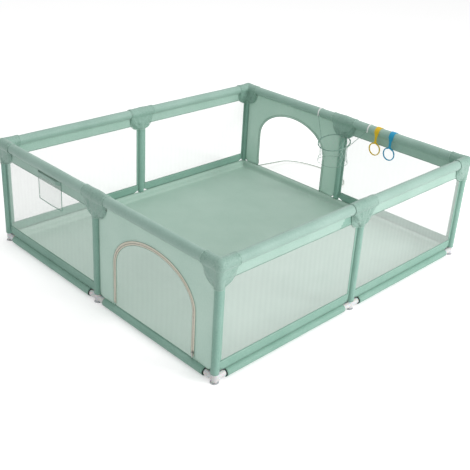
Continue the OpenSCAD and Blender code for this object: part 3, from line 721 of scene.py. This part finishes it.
def cap_piping(name, side, along, arms, reach, skirt):
    """Turned hems: round each arm's end, down the skirt's edges and round the foot."""
    shape = Shape()
    base = Matrix.Translation(at_side(side, along, 0, 0)) @ Matrix.Rotation(side * pi / 2, 4, "Z")
    for arm in arms:
        spin = base @ Matrix.Rotation(arm, 4, "Z")
        ring = []
        for k in range(48):
            angle = radians(-75 + 330 * k / 47)
            radius = 31.6 + 0.5 * sin(11 * angle)
            around = Vector((reach - 3, radius * cos(angle), RAIL_HEIGHT + radius * sin(angle)))
            ring.append(spin @ (around * MM))
        shape.tube(ring, 1.6 * MM, sides=7)
        for face in (-1, 1):
            edge = [Vector((x - 1.5, face * 6.6, z)) for x, z in reversed(skirt[1:-2])]
            edge = [Vector((reach - 3, face * 8.5, 588.0))] + edge[1:]
            edge[-1] = Vector((19, face * 12.5, CAP_HEM + 1))
            shape.tube([spin @ (p * MM) for p in smooth_path(edge)], 1.5 * MM, sides=7)
    foot = []
    for k in range(40):
        angle = 2 * pi * k / 40
        foot.append(base @ (Vector((23.4 * cos(angle), 23.4 * sin(angle), CAP_HEM + 1)) * MM))
    shape.tube(foot, 1.5 * MM, sides=7, closed=True)
    place_piece(name, shape, BAND_CLOTH)


corner_arms, middle_arms = (0.0, pi / 2), (0.0, pi)
for side in SIDES:
    for kind, along, arms, reach, skirt, folds in (
        ("corner", 0.0, corner_arms, CORNER_REACH, CORNER_SKIRT, 0.9),
        ("middle", bay_length(side), middle_arms, MIDDLE_REACH, MIDDLE_SKIRT, 2.2),
    ):
        cap = cap_cloth(f"{kind}_cap_{side}", side, along, arms, reach, skirt, folds,
                        f"{kind}_caps" if side == 0 else None)
        cap_piping(f"{kind}_cap_piping_{side}", side, along, arms, reach, skirt)


# ---- sheer windows ----


def window_cloth(side, bay, node):
    """One stretched window of knitted mesh, slightly slack between its bindings."""
    shape = Shape()
    length, offset = bay_length(side), bay * bay_length(side)
    rows = []
    low, high = BASE_BAND_TOP, TOP_BAND_FOOT
    for i in range(61):
        along = blend(WINDOW_START - 2, length - WINDOW_START + 2, i / 60)
        row = []
        for k in range(29):
            height = blend(low - 1, high + 1, k / 28)
            held = sin(pi * i / 60) ** 0.5 * sin(pi * k / 28) ** 0.5
            slack = 3.5 * ripple(along / 170, height / 260, side * 4 + bay)
            slack += 1.2 * ripple(along / 35, height / 200, side)
            row.append(at_side(side, offset + along, slack * held, height))
        rows.append(row)
    shape.rows(rows, ring=False)
    piece = place_piece(f"window_cloth_{SIDE_NAMES[side]}_{bay}", shape, SHEER,
                        replaces=(node,) if node else ())


for side, bay, node in ((FRONT, 0, "windows_front"), (FRONT, 1, None), (BACK, 0, "windows_back"), (BACK, 1, None),
                        (RIGHT, 0, "window_right"), (LEFT, 0, "window_left")):
    window_cloth(side, bay, node)


# ---- arched doors ----

ARCH_LEG, ARCH_ROUND = 12, 48


def arch_path(margin, foot):
    """Doorway outline grown by a margin: up one leg, over the arch and down, about the bay's middle."""
    half = DOOR_HALF + margin
    leg = [(half, blend(foot, DOOR_SPRING, k / ARCH_LEG)) for k in range(ARCH_LEG)]
    crown = [(half * cos(a), DOOR_SPRING + (DOOR_RISE + margin) * sin(a))
             for a in (pi * k / ARCH_ROUND for k in range(ARCH_ROUND + 1))]
    return leg + crown + [(-x, z) for x, z in reversed(leg)]


def panel_edge():
    """Outer outline of a door panel, matched point for point to the arch."""
    half, corner = PANEL_HALF, PANEL_CORNER
    leg = []
    for k in range(ARCH_LEG):
        if k <= 6:
            angle = -pi / 2 + pi / 2 * k / 6
            leg.append((half - corner + corner * cos(angle), PANEL_FOOT + corner + corner * sin(angle)))
        else:
            leg.append((half, blend(PANEL_FOOT + corner, DOOR_SPRING, (k - 6) / 6)))
    crown = []
    quarter = ARCH_ROUND // 4
    for k in range(ARCH_ROUND + 1):
        if k <= quarter:
            crown.append((half, blend(DOOR_SPRING, PANEL_TOP, k / quarter)))
        elif k <= 3 * quarter:
            crown.append((blend(half, -half, (k - quarter) / (2 * quarter)), PANEL_TOP))
        else:
            crown.append((-half, blend(PANEL_TOP, DOOR_SPRING, (k - 3 * quarter) / quarter)))
    return leg + crown + [(-x, z) for x, z in reversed(leg)]


def in_doorway(side, x, out, height, swing=0.0):
    """A point about the doorway's middle, turned outwards about the hinge line."""
    rise = height - HINGE_HEIGHT
    c, s = cos(swing), sin(swing)
    return at_side(side, 1.5 * bay_length(side) + x, out * c + rise * s, HINGE_HEIGHT + rise * c - out * s)


def arch_strip(shape, side, section, foot, swing):
    """Sweeps a closed section of margins and outward offsets round the arch."""
    lines = [[in_doorway(side, x, out, z, swing) for x, z in arch_path(margin, foot)] for margin, out in section]
    shape.rows(list(zip(*lines)))


def coil_path(side, margin, out, swing):
    """A wound coil along the arch, coarser than the real one so that it shows."""
    line = [in_doorway(side, x, out, z, swing) for x, z in arch_path(margin, TAPE_FOOT)]
    outward = (in_doorway(side, 0, 1, 300, swing) - in_doorway(side, 0, 0, 300, swing)).normalized()
    path = []
    for i, (point, forward) in enumerate(along_path(line, 1.5 * MM)):
        inward = forward.cross(outward)
        angle = i * pi / 2
        path.append(point + (inward * cos(angle) * 1.3 + outward * sin(angle) * 0.7) * MM)
    return path


def door(side):
    tag = SIDE_NAMES[side]
    swing = FLAP_OPEN if side == RIGHT else 0.0
    body = f"door_{tag}"
    # Panel round the doorway
    inner, outer = arch_path(0.0, PANEL_FOOT), panel_edge()
    layers = 12
    rows = []
    for i in range(len(inner)):
        front, back = [], []
        for k in range(layers + 1):
            x = blend(inner[i][0], outer[i][0], k / layers)
            z = blend(inner[i][1], outer[i][1], k / layers)
            wave = 1.6 * ripple(x / 130, z / 130, side * 3.0) * sin(pi * k / layers)
            front.append(in_doorway(side, x, 1.0 + wave, z))
            back.append(in_doorway(side, x, -1.0 + wave, z))
        rows.append(front + back[::-1])
    shape = Shape()
    shape.rows(rows)
    panel = place_piece(f"door_panel_cloth_{tag}", shape, PANEL_CLOTH,
                        replaces=(f"door_panel_{tag}",))
    # Seams: a dark cord beside the tape, and stitches outside it
    shape = Shape()
    for out in (1.3, -1.3):
        shape.tube([in_doorway(side, x, out, z) for x, z in arch_path(13.4, TAPE_FOOT)], 1.2 * MM, sides=6)
        shape.tube([in_doorway(side, x, out, z) for x, z in panel_edge()], 1.1 * MM, sides=6)
    shape.tube([in_doorway(side, x, -1.4, z) for x, z in arch_path(1.6, PANEL_FOOT + 1)], 1.5 * MM, sides=6)
    place_piece(f"door_panel_piping_{tag}", shape, BINDING_CLOTH)
    shape = Shape()
    for out in (1.5, -1.5):
        stitch_row(shape, [in_doorway(side, x, out, z) for x, z in arch_path(20, TAPE_FOOT)])
    place_piece(f"door_panel_stitching_{tag}", shape, THREAD)
    # Fixed half of the zip
    tape = ((0.4, 1.0), (12.0, 1.0), (12.2, 1.8), (11.6, 2.6), (6.0, 2.9), (0.6, 2.8))
    shape = Shape()
    arch_strip(shape, side, tape, TAPE_FOOT, 0.0)
    # Too wide for one half of the tape: the strips made here are about 12 mm and 8 mm across
    fixed = place_piece(f"zip_tape_fixed_{tag}", shape, TAPE_CLOTH, replaces=(f"door_zip_{tag}",))
    shape = Shape()
    shape.tube(coil_path(side, 1.2, 2.6, 0.0), 0.7 * MM, sides=5)
    place_piece(f"zip_coil_fixed_{tag}", shape, COIL_NYLON)
    # Flap of mesh with its half of the zip
    rows = []
    columns, heights = 64, 34
    for i in range(columns + 1):
        x = (DOOR_HALF - 0.8) * sin(pi * (i / columns - 0.5))
        crest = DOOR_SPRING + (DOOR_RISE - 0.8) * sqrt(max(0.0, 1 - (x / (DOOR_HALF - 0.7)) ** 2))
        row = []
        for k in range(heights + 1):
            z = blend(HINGE_HEIGHT, crest, k / heights)
            held = sin(pi * i / columns) ** 0.6 * sin(pi * k / heights) ** 0.6
            slack = -3.5 + 4 * ripple(x / 120, z / 150, side) + 1.5 * ripple(x / 40, z / 60, side * 2)
            row.append(in_doorway(side, x, slack * held, z, swing))
        rows.append(row)
    shape = Shape()
    shape.rows(rows, ring=False)
    flap = place_piece(f"door_flap_cloth_{tag}", shape, SHEER, body, (f"door_flap_{tag}",))
    tape = ((-9.0, 0.7), (-0.8, 0.7), (-0.9, 2.5), (-5.0, 2.6), (-8.6, 2.3), (-9.2, 1.5))
    shape = Shape()
    arch_strip(shape, side, tape, TAPE_FOOT, swing)
    moving = place_piece(f"zip_tape_flap_{tag}", shape, TAPE_CLOTH, body, (f"flap_zip_{tag}",))
    shape = Shape()
    shape.tube(coil_path(side, -1.9, 2.0, swing), 0.6 * MM, sides=5)
    place_piece(f"zip_coil_flap_{tag}", shape, COIL_NYLON, body)
    # Dark binding round the flap's edge and along its foot
    shape = Shape()
    shape.tube([in_doorway(side, x, 1.0, z, swing) for x, z in arch_path(-10.4, TAPE_FOOT)], 1.1 * MM, sides=6)
    shape.tube([in_doorway(side, x, -1.2, z, swing) for x, z in arch_path(-2.4, HINGE_HEIGHT + 2)], 1.4 * MM, sides=6)
    foot = [in_doorway(side, x, 0.3, HINGE_HEIGHT + 1.2, swing)
            for x in np.linspace(-DOOR_HALF + 3, DOOR_HALF - 3, 40)]
    shape.tube(foot, 1.6 * MM, sides=6)
    place_piece(f"door_flap_binding_{tag}", shape, BINDING_CLOTH, body)


door(LEFT)
door(RIGHT)


# ---- storage pocket ----

POCKET_START, POCKET_END = 375.0, 597.0
POCKET_FOOT, POCKET_TOP = 410.7, 584.7
POCKET_DEPTH = 25.0


def pocket_out(u, v):
    """How far the pocket's face stands out, from side to side and foot to mouth."""
    edge = smooth_step(0, 0.13, u) * smooth_step(0, 0.13, 1 - u)
    rise = smooth_step(0.0, 0.28, v)
    sag = 0.75 + 0.25 * sin(pi * min(1, v * 1.15))
    bulge = 1 + 0.12 * ripple(u * 3, v * 2, 5)
    return 1.6 + (POCKET_DEPTH - 3.0) * edge * rise * sag * bulge


def pocket():
    columns, heights = 44, 30
    rows = []
    for i in range(columns + 1):
        u = i / columns
        row = []
        for k in range(heights + 1):
            v = k / heights
            along = blend(POCKET_START, POCKET_END, u)
            droop = -4.0 * (1 - v) * sin(pi * u)
            height = blend(POCKET_FOOT + 4, POCKET_TOP - 1, v) + droop
            row.append(at_side(LEFT, along, pocket_out(u, v), height))
        rows.append(row)
    shape = Shape()
    shape.rows(rows, ring=False)
    body = place_piece("pocket_cloth", shape, POCKET_SHEER,
                       replaces=("storage_pocket",))
    shape = Shape()
    # Gathered elastic at the mouth
    rows = []
    for i in range(columns + 1):
        u = i / columns
        along = blend(POCKET_START, POCKET_END, u)
        ring = []
        for drop, thick in ((0.0, 0.4), (0.6, 1.3), (6.0, 1.6), (12.0, 1.5), (18.0, 1.6), (23.4, 1.3), (24.0, 0.4),
                            (18.0, -0.5), (6.0, -0.5)):
            v = 1 - drop / (POCKET_TOP - POCKET_FOOT)
            pucker = 0.5 * sin(i * 1.9) * (1 if thick > 1 else 0)
            ring.append(at_side(LEFT, along, pocket_out(u, v) + thick + pucker, POCKET_TOP - 0.5 - drop))
        rows.append(ring)
    shape.rows(rows)
    # Piping down the sides and along the foot
    line = []
    for k in range(30):
        line.append(at_side(LEFT, POCKET_START + 0.5, 2.2, blend(POCKET_TOP - 2, POCKET_FOOT + 6, k / 29)))
    for k in range(1, 50):
        u = k / 50
        line.append(at_side(LEFT, blend(POCKET_START, POCKET_END, u), 2.4,
                            POCKET_FOOT + 4 - 4 * sin(pi * u)))
    for k in range(30):
        line.append(at_side(LEFT, POCKET_END - 0.5, 2.2, blend(POCKET_FOOT + 6, POCKET_TOP - 2, k / 29)))
    shape.tube(line, 1.8 * MM, sides=7, finish=1)
    place_piece("pocket_binding", shape, [RAIL_CLOTH_PAINTED_SHADE, BINDING_CLOTH])


pocket()


# ---- floor mat ----


# Distance in from the pen's sides of each line across the mat's rim, which climbs the base rails
RIM_LINES = (60.0, 48.0, 40.0, 34.0, 30.0, 27.5, 26.0, 25.2, 24.8, 24.4, 23.8, 22.6, 20.5, 17.0, 13.0, 9.0, 5.5, 2.2)
RIM_R, RIM_UNDER_R, RIM_TOP = 24.4, 23.3, 49.8


def rim_height(inset, thick):
    if inset >= RIM_R:
        climb = 1 - min(1.0, (inset - RIM_R) / 16)
        return thick + (BASE_RAIL_HEIGHT - thick) * climb ** 3
    return min(RIM_TOP, BASE_RAIL_HEIGHT + sqrt(RIM_R ** 2 - inset ** 2))


def rim_underside(inset):
    if inset >= RIM_UNDER_R:
        return 0.1
    return BASE_RAIL_HEIGHT + sqrt(RIM_UNDER_R ** 2 - inset ** 2)


def mat_lines(half, inner_steps):
    """Places of the mat's lines across one direction, each with its distance in from the side."""
    edge = [(-half + inset, inset) for inset in reversed(RIM_LINES)]
    inner = half - RIM_LINES[0]
    middle = [(blend(-inner, inner, k / inner_steps), RIM_LINES[0] + 1) for k in range(1, inner_steps)]
    return edge + middle + [(-place, inset) for place, inset in reversed(edge)]


def floor_mat():
    """Thin padded floor whose edge climbs the base rails and is sewn along their tops."""
    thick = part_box("floor_mat")[1].z / MM
    across = mat_lines(SIDE_LENGTHS[RIGHT] / 2, 84)
    rows = []
    for x, x_inset in mat_lines(SIDE_LENGTHS[FRONT] / 2, 96):
        top, bottom = [], []
        for y, y_inset in across:
            inset = min(x_inset, y_inset)
            flat = smooth_step(45, 110, min(SIDE_LENGTHS[FRONT] / 2 - abs(x), SIDE_LENGTHS[RIGHT] / 2 - abs(y)))
            wave = 1.8 * ripple(x / 210, y / 210, 2.0) + 1.0 * ripple(x / 60, y / 95, 7.0) - 0.5
            top.append(Vector((x, y, rim_height(inset, thick) + wave * flat)) * MM)
            bottom.append(Vector((x, y, rim_underside(inset))) * MM)
        rows.append(top + bottom[::-1])
    shape = Shape()
    shape.rows(rows)
    mat = place_piece("floor_mat_cloth", shape, MAT_CLOTH,
                      replaces=("floor_mat",))


floor_mat()


# ---- hoop: cords and netting ----

HOOP_R, HOOP_BAR_R = 105.0, 3.5
HOOP_TILT = radians(14)
HOOP_CENTRE = Vector((868.6, -30.0, 499.0))
PEG_X, PEG_Z = 968.55, 601.0
CORD_R = 1.75
KNOT_SPREAD = 111.8
LOOP_Y = 199.0


def hoop_cords():
    """Two taut cords from the hooks down to the hoop, each with its loop and its knot."""
    for end, tag in ((-1, "front"), (1, "back")):
        start = Vector((PEG_X - 4.4, end * LOOP_Y, PEG_Z))
        stop = Vector((HOOP_CENTRE.x, HOOP_CENTRE.y + end * KNOT_SPREAD, HOOP_CENTRE.z + 1.5))
        path = []
        for k in range(25):
            t = k / 24
            point = start.lerp(stop, t)
            point.z -= 1.2 * sin(pi * t)
            path.append(point * MM)
        length = sum((b - a).length for a, b in zip(path, path[1:]))
        shape = Shape()
        shape.tube(path, CORD_R * MM, sides=10)
        cord = place_piece(f"hoop_cord_{tag}", shape, CORD_YARN, "hoop",
                           ("hoop_cords",) if end < 0 else ())
        loop = [Vector((PEG_X + 4.4 * cos(a), end * LOOP_Y, PEG_Z + 4.4 * sin(a))) * MM
                for a in (2 * pi * k / 24 for k in range(24))]
        shape = Shape()
        shape.tube(loop, CORD_R * MM, sides=8, closed=True)
        knot = []
        for k in range(40):
            a = 4 * pi * k / 39
            knot.append((stop + Vector((2.0 * cos(a), 1.5 * sin(a), 1.6 * cos(a / 2)))) * MM)
        shape.tube(knot, 1.3 * MM, sides=7)
        ends = place_piece(f"hoop_cord_ends_{tag}", shape, CORD_YARN, "hoop")
        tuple(path[0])


def hoop_netting():
    """Knotted net: two sets of strands that cross to make diamonds, tied on the ring."""
    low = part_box("hoop_net")[0].z / MM
    strands, levels = 18, 12
    tilt = Matrix.Rotation(-HOOP_TILT, 3, "Y")

    def net_point(turn, v):
        flare = 1 - 0.1 * sin(pi * min(1, v * 1.1)) + 0.03 * v
        ring = tilt @ Vector((98.5 * cos(turn), 98.5 * sin(turn), 0))
        top = HOOP_CENTRE.z + ring.z - 4
        height = blend(top, low + 1.5 + 6 * (1 + sin(3 * turn)) / 2, v)
        return Vector((HOOP_CENTRE.x + ring.x * flare, HOOP_CENTRE.y + ring.y * flare, height)) * MM

    shape = Shape()
    for way in (-1, 1):
        for i in range(strands):
            path = []
            for k in range(levels * 3 + 1):
                v = k / (levels * 3)
                swing = (1 - abs((v * 3) % 2 - 1)) * 2 * pi / strands
                path.append(net_point(2 * pi * i / strands + way * swing, v))
            shape.tube(path, 0.7 * MM, sides=6)
    rim = [net_point(2 * pi * k / 72, 1.0) for k in range(72)]
    shape.tube(rim, 1.2 * MM, sides=6, closed=True, finish=1)
    for i in range(strands):
        turn = 2 * pi * i / strands
        ring = tilt @ Vector((HOOP_R * cos(turn), HOOP_R * sin(turn), 0))
        outward = Vector((cos(turn), sin(turn), 0))
        lash = [(HOOP_CENTRE + ring + (outward * cos(a) + Vector((0, 0, 1)) * sin(a)) * 4.6) * MM
                for a in (2 * pi * k / 12 for k in range(12))]
        shape.tube(lash, 1.1 * MM, sides=6, closed=True, finish=1)
    place_piece("hoop_netting", shape, [NET_TWINE, CORD_YARN], "hoop", ("hoop_net",))


hoop_cords()
hoop_netting()


# ---- floor, light and background ----

scene = bpy.context.scene
scene.view_settings.view_transform = "Standard"

studio, tree = new_material("painted_studio_floor")
rays = add(tree, "LightPath")
speckle = add(tree, "TexNoise", {"Scale": 2.0, "Detail": 2.0})
floor_tone = add(tree, "Mix", {"A": (0.86, 0.86, 0.86, 1), "B": (0.88, 0.88, 0.88, 1),
                                         "Factor": speckle.outputs["Fac"]}, data_type="RGBA")
matt = add(tree, "BsdfDiffuse", {"Color": floor_tone.outputs["Result"]})
glow = add(tree, "Emission", {"Color": linear("#FFFFFF"), "Strength": 0.4})
seen = add(tree, "Math", {0: rays.outputs["Is Camera Ray"], 1: rays.outputs["Is Transmission Ray"]},
           operation="MAXIMUM")
seen = add(tree, "Math", {0: seen.outputs[0], 1: rays.outputs["Is Glossy Ray"]}, operation="MAXIMUM")
dark = add(tree, "Emission", {"Color": (0, 0, 0, 1), "Strength": 0.0})
glow_seen = add(tree, "MixShader", {0: seen.outputs[0], 1: dark.outputs[0], 2: glow.outputs[0]})
close_surface(tree, add(tree, "AddShader", {0: matt.outputs[0], 1: glow_seen.outputs[0]}))

floor_shape = Shape()
floor_shape.rows([[Vector((x, y, -0.0004)) for y in np.linspace(-30, 30, 13)] for x in np.linspace(-30, 30, 13)],
                 ring=False)
floor_mesh = floor_shape.mesh("studio_floor")
floor_mesh.materials.append(studio)
ground = bpy.data.objects.new("studio_floor", floor_mesh)
scene.collection.objects.link(ground)

world = bpy.data.worlds.new("studio_air")
scene.world = world
world.use_nodes = True
tree = world.node_tree
tree.nodes.clear()
rays = add(tree, "LightPath")
fill = add(tree, "Background", {"Color": (1.0, 1.0, 1.0, 1), "Strength": 0.6})
white = add(tree, "Background", {"Color": (1.0, 1.0, 1.0, 1), "Strength": 1.0})
seen = add(tree, "Math", {0: rays.outputs["Is Camera Ray"], 1: rays.outputs["Is Transmission Ray"]},
           operation="MAXIMUM")
air = add(tree, "MixShader", {0: seen.outputs[0], 1: fill.outputs[0], 2: white.outputs[0]})
add(tree, "OutputWorld", {"Surface": air.outputs[0]})


def soft_lamp(name, place, target, width, watts):
    data = bpy.data.lights.new(name, "AREA")
    data.shape, data.size, data.energy = "DISK", width, watts
    lamp = bpy.data.objects.new(name, data)
    lamp.location = place
    lamp.rotation_euler = (Vector(target) - Vector(place)).to_track_quat("-Z", "Y").to_euler()
    scene.collection.objects.link(lamp)


soft_lamp("key_lamp", (2.5, -7.0, 3.2), (0, 0, 0.3), 3.5, 330)
soft_lamp("top_lamp", (0.5, 0.5, 7.0), (0, 0, 0.3), 5.0, 100)
